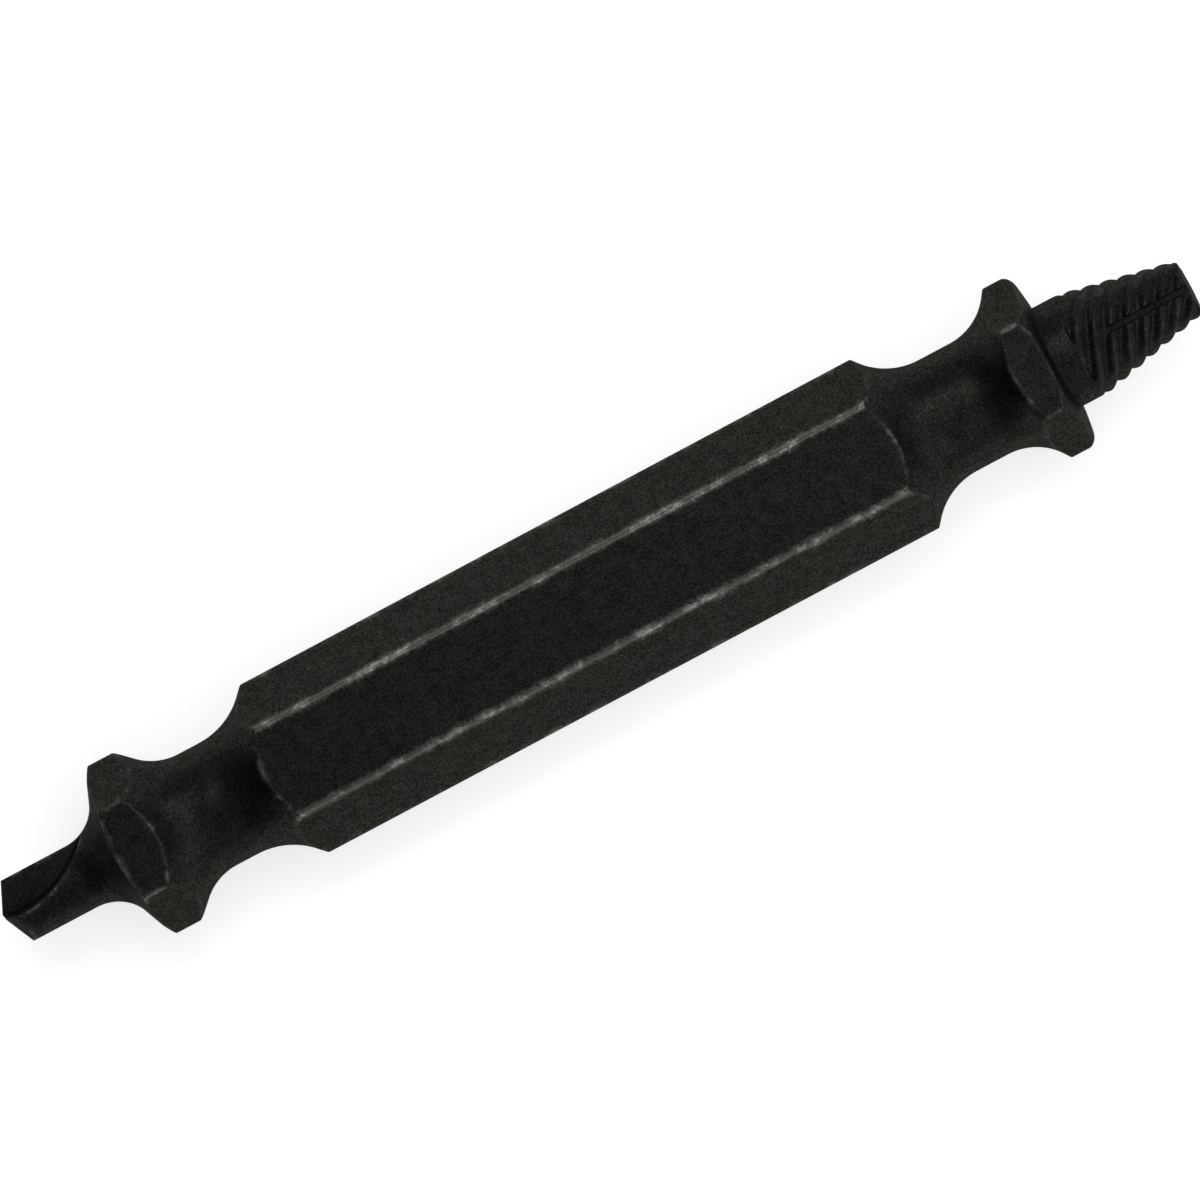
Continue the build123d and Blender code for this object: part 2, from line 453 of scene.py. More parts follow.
@dataclass(frozen=True)
class DrillEnd:
    """Short left-hand drill with two flutes, ground on the turned blank in front of its collar."""

    bar: HexBar
    x_point: float = -25.81
    reach: float = 5.60
    diameter: float = 2.64
    point_angle: float = 130.0
    relief_angle: float = 20.0
    web: float = 0.30
    root_radius: float = 1.85
    collar_front_angle: float = 66.5
    flute_run: float = 0.78
    wheel_radius: float = 4.60
    wall_angle: float = 10.5
    corner_radius: float = 0.15
    land_rows: int = 34
    straight_rows: int = 9
    root_rows: int = 26
    rake_steps: int = 12
    corner_steps: int = 4
    wall_steps: int = 12
    rub: float = 0.12
    land_rub: float = 0.30
    collar_rub: float = 0.6
    widest_opening: float = 112.0  # degrees from +Y, past which no flute reaches round the side
    opening_samples: int = 4001
    halvings: int = 50  # times that the interval is halved to find where a flute closes
    lip_crowding: float = 1.3  # power by which the first rows keep close to the point
    tail_points: int = 900
    settled: float = 0.75  # share of the root over which the columns turn back to the bar's own
    # Painted shade in the flutes:
    corner_dark: float = 0.45  # darkening in a flute's inner corner, and at the top of its wall
    wall_dark: float = 0.15
    dark_run: float = 0.45  # share of the drill's reach over which that darkening fades
    flank_rings: tuple = (0.0, 0.04, 0.12, 0.3, 0.6, 1.0)  # from a flank's outline to the chisel edge
    # Painted shade over the flanks of the point:
    flank_dark: float = 0.6
    chisel_gap: float = 0.001  # share of the way that the chisel edge counts as away from an edge
    chisel_steps: int = 8  # places on the chisel edge that the points of a flank's outline run to
    chisel_shares: tuple = (0.5, 0.875)  # where on the chisel edge the wall's and the land's points end
    # Painted shade at the drill's root: middle (x, r), reach (x, r) and depth.
    root_shade: tuple = (-21.0, 2.0, 0.75, 0.9, 0.3)

    @property
    def radius(self) -> float:
        """Half the drill's diameter."""
        return self.diameter / 2

    @property
    def lift(self) -> float:
        """Where the grinding wheel starts to lift out of a flute."""
        return self.x_point + self.flute_run

    def front(self, y: Array, z: Array) -> Array:
        """Point of the drill: two flanks that meet in the chisel edge.

        Each flank is a plane, so x is the point's place plus the size of: y over the tangent of
        half the point angle, less z times the tangent of the relief angle.
        """
        lip = 1 / np.tan(np.radians(self.point_angle / 2))
        relief = np.tan(np.radians(self.relief_angle))
        return self.x_point + np.abs(lip * y - relief * z)

    def wall(self, x: Array, z: Array) -> Array:
        """Place y of a flute's sloping wall.

        Before the wheel lifts, the wall falls back in proportion to its height above the cutting
        face. Beyond, it is the near side of a circle whose radius grows with that height.
        """
        leaned = (z - self.web / 2) * np.tan(np.radians(self.wall_angle))
        ahead = np.maximum(x - self.lift, 0.0)
        under = np.maximum((self.wheel_radius + leaned) ** 2 - ahead**2, 0.0)
        return self.wheel_radius - np.sqrt(under)

    def spans(self, x: Array, skin: Array) -> tuple:
        """Angles between which a flute opens the drill's side.

        Args:
            x: Places along the bar.
            skin: Radius of the turned blank at each.

        Returns:
            Angle of the cutting face's edge, angle of the wall's edge, and whether it is open.
        """
        low = np.arcsin(self.web / 2 / skin)
        share = spread(self.opening_samples)
        phi = blend(low[:, None], np.radians(self.widest_opening), share)
        y, z = skin[:, None] * np.cos(phi), skin[:, None] * np.sin(phi)
        room = y - self.wall(x[:, None], z)
        is_open = room > 0
        any_open = is_open.any(axis=1)
        first = np.argmax(is_open, axis=1)
        last = share.size - 1 - np.argmax(is_open[:, ::-1], axis=1)
        each = np.arange(x.size)
        before = np.maximum(first - 1, 0)
        after = np.minimum(last + 1, share.size - 1)

        def crossing(inner: Array, outer: Array) -> Array:
            """Angle where the room falls to nothing between two neighbouring samples."""
            a, b = room[each, inner], room[each, outer]
            part = np.where(inner == outer, 0.0, a / np.where(a == b, 1.0, a - b))
            return blend(phi[each, inner], phi[each, outer], np.clip(part, 0, 1))

        return crossing(first, before), crossing(last, after), any_open

    def flute_end(self, path: TurnedPath) -> tuple:
        """Place and angle at which a flute closes, found by halving the interval."""
        low, high = self.lift, self.lift + self.wheel_radius
        angle = 0.0
        for _ in range(self.halvings):
            middle = (low + high) / 2
            skin = np.interp(middle, path.x, path.r)
            first, last, any_open = self.spans(np.array([middle]), np.array([skin]))
            if any_open[0]:
                low, angle = middle, (first[0] + last[0]) / 2
            else:
                high = middle
        return low, angle

    def section(self, x: Array, skin: Array, first: Array, last: Array) -> tuple:
        """Cross-section of one flute at each place: cutting face, rounded corner and wall.

        The cutting face is a straight line at half the web's height. The corner is a quadratic
        curve, and the wall follows its own formula up to the drill's side.

        Returns:
            Places y and z, as rows by columns.
        """
        base = self.web / 2
        column = x[:, None]
        corner_y = self.wall(x, np.full_like(x, base))
        edge_y = np.sqrt(np.maximum(skin**2 - base**2, 0.0))
        open_face = edge_y > corner_y
        low_z = np.where(open_face, base, skin * np.sin(first))
        high_z = skin * np.sin(last)
        face_end = np.where(open_face, edge_y, skin * np.cos(first))
        face_inner = np.where(open_face, corner_y, skin * np.cos(first))
        reach = self.corner_radius * np.tan(np.radians((90 - self.wall_angle) / 2))
        slack_y = np.minimum(reach, (face_end - face_inner) / 2)
        slack_z = np.minimum(reach, (high_z - low_z) / 2) * np.where(open_face, 1.0, 0.0)
        along_face = spread(self.rake_steps + 1)
        face = blend(face_end[:, None], (face_inner + slack_y)[:, None], along_face)
        face_z = np.broadcast_to(low_z[:, None], face.shape)
        t = spread(self.corner_steps + 1)[None, 1:]
        foot_z = (low_z + slack_z)[:, None]
        foot_y = self.wall(column, foot_z)
        bend_y = quadratic(face[:, -1:], face_inner[:, None], foot_y, t)
        bend_z = quadratic(low_z[:, None], low_z[:, None], foot_z, t)
        rise = blend(foot_z, high_z[:, None], spread(self.wall_steps + 1)[None, 1:])
        wall = self.wall(column, rise)
        wall[:, -1] = skin * np.cos(last)
        places = ([face, bend_y, wall], [face_z, bend_z, rise])
        return tuple(np.concatenate(parts, axis=1) for parts in places)

    def build(self, surface: Surface) -> tuple:
        """Adds the ground part of the drill and returns the turned strip behind it.

        Args:
            surface: Gathers the grids.

        Returns:
            The strip from the end of the flutes to the collar's flats, and where those start.
        """
        columns = self.bar.columns
        turned = (self.radius, self.root_radius, self.collar_front_angle)
        path = self.bar.cone_path(self.x_point, *turned, self.x_point + self.reach, 1.0)
        x_end, phi_end = self.flute_end(path)
        log.info("drill: flutes close at %.3f mm, %.1f degrees", x_end, np.degrees(phi_end))
        self.grind(surface, path, x_end, phi_end, columns.size // 2)

        first_column = int(np.argmin(np.abs(columns - phi_end)))
        order = (np.arange(columns.size) - first_column) * (2 * np.pi / columns.size)
        start = np.interp(x_end, path.x, path.run)
        tail_run = np.linspace(start, path.run[-1], self.tail_points)
        # Painted shade at the drill's root, in front of its collar.
        tail = TurnedPath(*path.at(tail_run), shades=(self.root_shade,))
        turned = (tail, self.root_rows, 1.0, self.collar_rub)
        return self.bar.shoulder(*turned, order + phi_end, self.settled)

    def grind(self, surface: Surface, path: TurnedPath, x_end: float, phi_end: float, half: int) -> None:
        """Adds both flutes, both lands and both flanks of the point.

        Args:
            surface: Gathers the grids.
            path: Lathe path of the blank that they are ground in.
            x_end: Where the flutes close.
            phi_end: Angle at which the upper one closes.
            half: Steps round half of the blank.
        """
        t_front = spread(self.straight_rows)
        t_back = spread(self.land_rows - self.straight_rows + 1)[1:]
        x_back = self.lift + (x_end - self.lift) * (1 - (1 - t_back) ** 2)
        stations = np.concatenate([np.full(self.straight_rows, self.lift), x_back])
        skin = np.interp(stations, path.x, path.r)
        low, high, _ = self.spans(stations, skin)
        low[-1] = high[-1] = phi_end
        ease = np.concatenate([t_front**self.lip_crowding, np.ones(t_back.size)])[:, None]

        def pulled(y: Array, z: Array) -> tuple:
            """Rows that start on the point's flanks and settle on the stations."""
            start = self.front(y, z)
            x = blend(start, stations[:, None], ease)
            return x, np.maximum(x - start, 0)

        y_cut, z_cut = self.section(stations, skin, low, high)
        y_cut[-1], z_cut[-1] = skin[-1] * np.cos(phi_end), skin[-1] * np.sin(phi_end)
        x_cut, cut_front = pulled(y_cut, z_cut)
        steps = np.hypot(np.diff(y_cut, axis=1), np.diff(z_cut, axis=1))
        along = np.concatenate([np.zeros((stations.size, 1)), np.cumsum(steps, axis=1)], axis=1)
        cut_gap = np.minimum(np.minimum(along, along[:, -1:] - along), cut_front)
        # The flutes carry painted shade in their inner corners.
        cut_marks = {"edge_gap": cut_gap, "rub": self.rub, "painted_shade": self.shade(stations)}

        phi = blend(high[:, None], np.pi + low[:, None], spread(half + 1))
        y_land, z_land = skin[:, None] * np.cos(phi), skin[:, None] * np.sin(phi)
        x_land, land_front = pulled(y_land, z_land)
        to_side = skin[:, None] * np.minimum(phi - phi[:, :1], phi[:, -1:] - phi)
        land_marks = {"edge_gap": np.minimum(to_side, land_front), "turned": 1.0, "rub": self.land_rub}
        for turn in (1.0, -1.0):
            surface.add_half((x_cut, y_cut, z_cut), turn, cut_marks)
            surface.add_half((x_land, y_land, z_land), turn, land_marks)
            self.add_flank(surface, turn, (y_cut[0], z_cut[0]), (y_land[0], z_land[0]))

    def shade(self, stations: Array) -> Array:
        """Painted shade in a flute: full in its inner corner, and gone where the wheel lifts out."""
        face = self.corner_dark * spread(self.rake_steps + 1) ** 8
        corner = np.full(self.corner_steps, self.corner_dark)
        wall = np.linspace(self.corner_dark, self.wall_dark, self.wall_steps)
        fade = 1 - smooth_step((stations - self.lift) / (self.dark_run * self.reach))
        return np.concatenate([face, corner, wall]) * fade[:, None]

    def add_flank(self, surface: Surface, turn: float, cut: tuple, land: tuple) -> None:
        """Adds one flank of the point, as rings from its outline in to the chisel edge.

        Args:
            surface: Gathers the grids.
            turn: 1 for the flank behind the upper flute's wall, -1 for the other.
            cut: Outline of a flute at the point, from the cutting lip up the wall.
            land: Outline of a land at the point.
        """
        split = self.rake_steps
        wall_y, wall_z = (part[split:] for part in cut)
        lip_y, lip_z = (-part[: split + 1] for part in cut)
        y = np.concatenate([wall_y, land[0][1:-1], lip_y])
        z = np.concatenate([wall_z, land[1][1:-1], lip_z])
        wall_end, land_end = self.chisel_shares
        corner = np.linspace(0, wall_end, self.corner_steps + 1)
        side = np.full(self.wall_steps, wall_end)
        grown = blend(wall_end, land_end, spread(land[0].size)[1:-1])
        lip = blend(land_end, 1.0, spread(split + 1))
        share = np.concatenate([corner, side, grown, lip])
        share = np.round(share * self.chisel_steps) / self.chisel_steps
        chisel_y = blend(wall_y[0], -wall_y[0], share)
        chisel_z = blend(wall_z[0], -wall_z[0], share)
        ring = np.array(self.flank_rings)[:, None]
        y_ring, z_ring = blend(y, chisel_y, ring), blend(z, chisel_z, ring)
        depth = np.hypot(chisel_y - y, chisel_z - z)
        gap = np.minimum(ring, 1 + self.chisel_gap - ring) * depth
        # The flanks are darkened with painted shade.
        marks = {"edge_gap": gap, "rub": self.rub, "painted_shade": self.flank_dark}
        surface.add_half((self.front(y_ring, z_ring), y_ring, z_ring), turn, marks, flip=True)


@dataclass(frozen=True)
class ThreadEnd:
    """Tapered left-hand thread with seven starts and three narrow flutes, and its plain land."""

    bar: HexBar
    x_face: float = 19.95
    # Painted shade in the collar's inner corner (its reach) and over the collar's face:
    foot_shade: float = 0.16
    face_shade: tuple = (0.6, 0.25, 0.9, 0.25)  # height over the land, reach (x, r) and depth
    # Painted shade on the end face of the tip:
    end_shade: float = 0.6
    collar_rounding: float = 0.50
    foot_fillet: float = 0.20
    land_length: float = 1.01
    land_recess: float = 0.08
    length: float = 4.85
    tip_diameter: float = 2.30
    tip_chamfer: float = 0.12
    half_angle: float = 12.0
    starts: int = 7
    lead: float = 4.92
    first_groove: float = 82.0
    depth: float = 0.175
    crest_width: float = 0.28
    flutes: int = 3
    flute_width: float = 0.30
    flute_depth: float = 0.26
    flute_length: float = 2.40
    flute_wheel_radius: float = 2.00
    crest_rounding: float = 0.036
    root_rounding: float = 0.070
    run_out: float = 0.1  # how far past their start the grooves are at full depth
    run_out_slope: float = 2.4
    crest_fade: float = 10.0  # how fast the crests' wear fades over that run-out
    lead_in: float = 0.2  # from the start of the grooves to where the even rows of the body begin
    lead_rows: int = 16
    body_rows: int = 98
    nose_rows: int = 5
    end_rings: tuple = (1.0, 0.96, 0.85, 0.6, 0.3, 0.0)
    collar_rows: int = 24
    joined_land: float = 0.55  # share of the land where the collar's rows end, and the thread's start
    settled: float = 0.8  # share of the collar over which the columns turn back to the bar's own
    wall_bend: tuple = (0.03, 8.0)  # how far inside its edge a flute's wall bends up, and how much
    wall_rise: tuple = (0.008, 18.0)  # how far inside its edge it starts to rise straight, and the slope
    # Painted shade in the flutes and in the valleys of the grooves:
    wall_dark: tuple = (0.35, 0.65, 0.035)  # darkening of a flute: all over, more at its edges, reach
    groove_dark: float = 0.1
    flute_columns: tuple = (0.0, 0.045, 0.085, 0.115, 0.134, 0.145, 0.152, 0.159, 0.172, 0.195)
    rub: float = 0.05
    collar_rub: float = 0.16

    @property
    def x_start(self) -> float:
        """Where the grooves start."""
        return self.x_face + self.land_length

    @property
    def x_tip(self) -> float:
        """End face of the tool."""
        return self.x_start + self.length

    @property
    def taper(self) -> float:
        """Fall of the radius for each millimetre along the bar."""
        return float(np.tan(np.radians(self.half_angle)))

    @property
    def land_radius(self) -> float:
        """Radius of the plain land between collar and grooves."""
        return self.tip_diameter / 2 + self.taper * self.length - self.land_recess

    @property
    def mouth(self) -> float:
        """Half the width of a groove where it meets its crests."""
        return (self.lead / self.starts - self.crest_width) / 2

    def cone(self, x: Array) -> Array:
        """Radius of the cone that the crests lie on."""
        return self.tip_diameter / 2 + self.taper * (self.x_tip - x)

    def outline(self, x: Array) -> Array:
        """Radius of the land, then of the cone."""
        return np.minimum(self.cone(x), self.land_radius)

    def blank(self, x: Array) -> Array:
        """Radius of the turned blank: its outline, less the small chamfer at the tip."""
        return self.outline(x) - np.clip(x - (self.x_tip - self.tip_chamfer), 0.0, None)

    def before(self, x: Array) -> Array:
        """How far a place lies ahead of the grooves' full depth."""
        return np.maximum(self.x_start + self.run_out - x, 0.0)

    def off_groove(self, x: Array, phi: Array) -> Array:
        """Distance across the grooves to the middle of the nearest one.

        A groove falls back by one whole turn for each lead, so its angle is the first angle less
        360 degrees times the way from the start over the lead. The way along the bar to the
        nearest groove, times the sine of the grooves' angle to the bar, is the distance across.
        """
        turns = (phi - np.radians(self.first_groove)) / (2 * np.pi) + (x - self.x_start) / self.lead
        pitches = turns * self.starts
        along = (pitches - np.round(pitches)) * self.lead / self.starts
        lean = np.arctan2(2 * np.pi * self.cone(x), self.lead)
        return along * np.sin(lean)

    def threaded(self, x: Array, phi: Array) -> Array:
        """Radius of the threaded surface: the lower of the blank and the V of the grooves."""
        off = np.sqrt(self.off_groove(x, phi) ** 2 + self.root_rounding**2) - self.root_rounding
        floor = self.cone(x) - self.depth + off * self.depth / self.mouth
        groove = floor + self.run_out_slope * self.before(x)
        return soft_min(self.blank(x), groove, self.crest_rounding)

    def flute_floor(self, x: Array) -> Array:
        """Height of a flute's floor: along the taper, then the arc of the wheel that lifts out."""
        wall = self.x_tip - self.flute_length - self.flute_wheel_radius
        tip_floor = self.tip_diameter / 2 - self.flute_depth
        wall_floor = tip_floor + self.taper * (self.x_tip - wall)
        top = wall_floor + 2 * self.flute_wheel_radius
        path = TurnedPath.through(
            [(self.x_tip + RUN_ON, tip_floor - self.taper * RUN_ON), (wall, wall_floor), (wall, top)],
            [self.flute_wheel_radius],
        )
        return np.interp(x, path.x[::-1], path.r[::-1])

    def placed(self, x: Array, columns: int) -> tuple:
        """Radius and angle of each column at each place along the thread.

        Columns beside a flute keep their distance from its middle plane, so that they follow its
        walls. The others share out the angle between two flutes.

        Args:
            x: Places along the bar.
            columns: Columns once round.

        Returns:
            Radius, angle, distance to the nearest edge and painted shade in the grooves and flutes, as rows
            by columns.
        """
        beside = np.array(self.flute_columns)
        sector = 2 * np.pi / self.flutes
        between = columns // self.flutes - 2 * beside.size + 1
        share = np.arange(1, between + 1) / (between + 1)
        x = x[:, None]
        side = np.arcsin(beside[None] / self.outline(x))
        middle = blend(side[:, -1:], sector - side[:, -1:], share)
        relative = np.tile(np.concatenate([side, middle, sector - side[:, :0:-1]], axis=1), self.flutes)
        lateral = np.concatenate([beside, np.full(between, np.nan), -beside[:0:-1]])
        centre = np.pi / 2 + np.repeat(np.arange(self.flutes), lateral.size) * sector
        lateral = np.tile(lateral, self.flutes)
        in_flute = ~np.isnan(lateral)
        across = np.where(in_flute, lateral, 0.0)

        r = self.threaded(x, centre + relative)
        height = np.sqrt(r**2 - across**2)
        past = np.abs(across) - self.flute_width / 2
        floor = self.flute_floor(x) + self.wall_height(past)
        cut = soft_min(height, floor, self.crest_rounding)
        base = np.where(lateral >= 0, centre, centre + sector)
        radius = np.where(in_flute, np.hypot(cut, across), r)
        angle = np.where(in_flute, base + np.arctan2(across, cut), centre + relative)

        crest = np.abs(np.abs(self.off_groove(x, angle)) - self.mouth) + self.crest_fade * self.before(x)
        beyond = ~in_flute | (self.flute_floor(x) > height)
        wall_edge = np.where(beyond, FAR, np.abs(past))
        to_tip = np.abs(self.x_tip - self.tip_chamfer - x)
        gap = np.minimum(np.minimum(crest, wall_edge), to_tip)
        # Painted shade: darker deep in the thread's valleys, and over the flutes, most at their walls.
        valley = self.groove_dark * smooth_step((self.outline(x) - r) / self.depth) ** 3
        dark, added, reach = self.wall_dark
        in_wall = dark + added * np.exp(-((past / reach) ** 2))
        return radius, angle, gap, np.where(in_flute & (floor < height), in_wall, valley)

    def wall_height(self, past: Array) -> Array:
        """Height of a flute's wall over its floor: it bends up by a square, then rises straight.

        Args:
            past: Distance outwards from the wall's edge, below 0 inside the flute.
        """
        (bend_start, bend), (rise_start, slope) = self.wall_bend, self.wall_rise
        return np.maximum(past + bend_start, 0.0) ** 2 * bend + np.maximum(past + rise_start, 0.0) * slope

    def build(self) -> tuple:
        """Strip from the collar's flats over its rounded rim and face, along the thread to the tip.

        Returns:
            Where the collar's flats end, and the strip.
        """
        count = self.bar.columns.size
        x_land = self.x_face + self.joined_land * self.land_length
        x_body, x_nose = self.x_start + self.lead_in, self.x_tip - self.tip_chamfer
        lead_in = np.linspace(x_land, x_body, self.lead_rows)
        body = np.linspace(x_body, x_nose, self.body_rows)[1:]
        nose = np.linspace(x_nose, self.x_tip, self.nose_rows)[1:]
        x = np.concatenate([lead_in, body, nose])
        quarter = count // 4
        r, phi, gap, painted_shade = (np.roll(part, quarter, axis=1) for part in self.placed(x, count))
        phi[:, :quarter] -= 2 * np.pi
        thread = Strip.of(x[:, None], r, phi, gap, 1.0, self.rub, painted_shade)
        inward = np.array(self.end_rings)[:, None]
        end_gap = r[-1] * (1 - inward)
        # The end face is darkened with painted shade.
        end = Strip.of(self.x_tip, r[-1] * inward, phi[-1], end_gap, 1.0, self.rub, self.end_shade)
        rim = self.bar.apothem / np.cos(np.pi / 6)
        corners = [(x_land, self.land_radius), (self.x_face, self.land_radius)]
        corners += [(self.x_face, rim), (self.x_face - RUN_ON, rim)]
        # Painted shade in the collar's inner corner and over its face.
        foot = (self.x_face, self.land_radius, self.foot_shade, self.foot_shade, 1.0)
        face = (self.x_face, self.land_radius + self.face_shade[0], *self.face_shade[1:])
        path = TurnedPath.through(corners, [self.foot_fillet, self.collar_rounding], (foot, face))
        turned = (path, self.collar_rows, -1.0, self.collar_rub)
        collar, x_flat = self.bar.shoulder(*turned, phi[0], self.settled)
        return x_flat, Strip.joined([collar.flipped(), thread, end])


@dataclass(frozen=True)
class Necks:
    """Two turned necks, one between each collar and the shank."""

    bar: HexBar
    drill_collar: float = -19.11
    drill_shank: float = -13.52
    drill_diameter: float = 4.82
    collar_back_angle: float = 43.4
    collar_back_radius: float = 2.35
    drill_shoulder: float = 3.05
    thread_shank: float = 13.08
    thread_collar: float = 18.80
    thread_diameter: float = 4.78
    thread_shoulder: float = 2.75
    thread_collar_shoulder: float = 2.35
    middles: tuple = (0.42, 0.5)  # share of each neck at which the paths of its two shoulders meet
    rubs: tuple = (0.28, 0.36, 0.20, 0.30)
    rows: int = 24

    def arc_path(self, corner: float, out: float, floor: float, radius: float, middle: float) -> TurnedPath:
        """Lathe path along a neck's floor and up an arc that reaches the bar's corners.

        Args:
            corner: Where the arc reaches the bar's corners.
            out: Way along the bar in which it climbs: 1 or -1.
            floor: Radius of the neck.
            radius: Radius of the arc.
            middle: Where the path starts.
        """
        drop = floor + radius - self.bar.corner_radius
        wall = corner - out * (np.sqrt(radius**2 - drop**2) - radius)
        corners = [(middle, floor), (wall, floor), (wall, floor + radius + RUN_ON)]
        return TurnedPath.through(corners, [radius])

    def build(self) -> list:
        """Strips of the four shoulders, from the drill's collar to the thread's.

        Returns:
            Pairs of a strip, in the order of the bar, and where its flat starts.
        """
        drill_middle = blend(self.drill_collar, self.drill_shank, self.middles[0])
        thread_middle = blend(self.thread_shank, self.thread_collar, self.middles[1])
        drill_floor, thread_floor = self.drill_diameter / 2, self.thread_diameter / 2
        turned = (drill_floor, self.collar_back_radius, self.collar_back_angle)
        cone = self.bar.cone_path(drill_middle, *turned, self.drill_collar, -1.0)
        arcs = (
            (self.drill_shank, 1.0, drill_floor, self.drill_shoulder, drill_middle),
            (self.thread_shank, -1.0, thread_floor, self.thread_shoulder, thread_middle),
            (self.thread_collar, 1.0, thread_floor, self.thread_collar_shoulder, thread_middle),
        )
        paths = [(cone, -1.0)] + [(self.arc_path(*arc), arc[1]) for arc in arcs]
        made = []
        for (path, out), rub in zip(paths, self.rubs):
            strip, x_flat = self.bar.shoulder(path, self.rows, out, rub)
            made.append((strip if out > 0 else strip.flipped(), x_flat))
        return made


@dataclass(frozen=True)
class Extractor:
    """The whole tool, as one closed surface."""

    bar: HexBar = HexBar()
    weld: float = 0.0004
    crease_angle: float = 32.0
    collar_rows: tuple = (0.0, 0.08, 0.3, 0.7, 0.92, 1.0)  # shares of the way between two creases
    shank_rows: tuple = (
        0.0, 0.004, 0.012, 0.03, 0.07, 0.14, 0.25, 0.4, 0.6, 0.75, 0.86, 0.93, 0.97, 0.988, 0.996, 1.0,
    )
    handled: tuple = (0.55, 1.0, 0.5)  # wear of the long edges: drill's collar, shank, thread's collar

    def build(self) -> bpy.types.Object:
        """Joins drill, necks, shank and thread, and makes the object."""
        surface = Surface()
        drill, necks, thread_end = DrillEnd(self.bar), Necks(self.bar), ThreadEnd(self.bar)
        root, x_1 = drill.build(surface)
        (back, x_2), (rise, x_3), (fall, x_4), (climb, x_5) = necks.build()
        x_6, thread = thread_end.build()
        spans = ((x_1, x_2), (x_3, x_4), (x_5, x_6))
        shares = (self.collar_rows, self.shank_rows, self.collar_rows)
        rubs = ((drill.collar_rub, necks.rubs[0]), necks.rubs[1:3], (necks.rubs[3], thread_end.collar_rub))
        collar, shank, far_collar = (
            self.bar.flat(*span, rows, rub, handled)
            for span, rows, rub, handled in zip(spans, shares, rubs, self.handled)
        )
        strips = [root, collar, back, rise, shank, fall, climb, far_collar, thread]
        surface.add_strip(Strip.joined(strips), closed=True)
        return surface.to_object(
            "screw_extractor_steel", self.bar.apothem, self.weld, np.radians(self.crease_angle)
        )


class Tone(Enum):
    """Plain tones of the stage, in linear light."""

    FLOOR = (0.86, 0.86, 0.86, 1.0)
    WHITE = (1.0, 1.0, 1.0, 1.0)


class NodeSheet:
    """Short hand for laying out shader nodes in one tree."""

    def __init__(self, tree: bpy.types.NodeTree) -> None:
        """Starts on an empty tree."""
        self.tree = tree
        tree.nodes.clear()

    def node(self, kind: str, **settings: object) -> bpy.types.Node:
        """Adds a node and sets its own properties."""
        made = self.tree.nodes.new(kind)
        for label, value in settings.items():
            setattr(made, label, value)
        return made

    def feed(self, socket: Socket, value: object) -> None:
        """Joins an output to a socket, or sets the socket's own number or colour."""
        if isinstance(value, Socket):
            self.tree.links.new(value, socket)
        else:
            socket.default_value = value

    def fed(self, kind: str, feeds: dict, **settings: object) -> bpy.types.Node:
        """Adds a node, sets its own properties, then feeds its inputs, by name or place."""
        made = self.node(kind, **settings)
        for label, value in feeds.items():
            self.feed(made.inputs[label], value)
        return made

    def math(self, operation: str, first: object, second: object = 0.0, clamp: bool = False) -> Socket:
        """Adds a Math node and returns its result."""
        feeds = {0: first, 1: second}
        return self.fed("ShaderNodeMath", feeds, operation=operation, use_clamp=clamp).outputs[0]

    def scaled(self, vector: Socket, factors: object) -> Socket:
        """Adds a Vector Math node that multiplies by one number, or by one for each axis."""
        kind = "MULTIPLY" if isinstance(factors, tuple) else "SCALE"
        feeds = {0: vector, (1 if kind == "MULTIPLY" else "Scale"): factors}
        return self.fed("ShaderNodeVectorMath", feeds, operation=kind).outputs[0]

    def noise(self, vector: object, scale: object, detail: float = 2.0, roughness: float = 0.5) -> Socket:
        """Adds a Noise Texture and returns its value."""
        feeds = {"Vector": vector, "Scale": scale, "Detail": detail, "Roughness": roughness}
        return self.fed("ShaderNodeTexNoise", feeds).outputs[0]

    def ramp(
        self, value: object, low: object, high: object, low_out: object = 0.0, high_out: object = 1.0
    ) -> Socket:
        """Adds a smooth Map Range from low..high to the given values and returns its result."""
        feeds = {"Value": value, "From Min": low, "From Max": high, "To Min": low_out, "To Max": high_out}
        return self.fed("ShaderNodeMapRange", feeds, interpolation_type="SMOOTHSTEP").outputs[0]

    def mix(self, share: object, first: object, second: object) -> Socket:
        """Adds a colour Mix and returns its result."""
        return self.fed("ShaderNodeMix", {0: share, 6: first, 7: second}, data_type="RGBA").outputs[2]

    def mix_value(self, share: object, first: object, second: object) -> Socket:
        """Adds a Mix of two plain values and returns its result."""
        return self.fed("ShaderNodeMix", {0: share, 2: first, 3: second}, data_type="FLOAT").outputs[0]

    def attribute(self, name: str) -> Socket:
        """Adds an Attribute node and returns the value that it reads off the surface."""
        return self.node("ShaderNodeAttribute", attribute_name=name).outputs["Fac"]

    def group(self, tree: bpy.types.NodeTree, feeds: dict) -> bpy.types.NodeOutputs:
        """Places a shared group, feeds it and returns its outputs."""
        return self.fed("ShaderNodeGroup", feeds, node_tree=tree).outputs


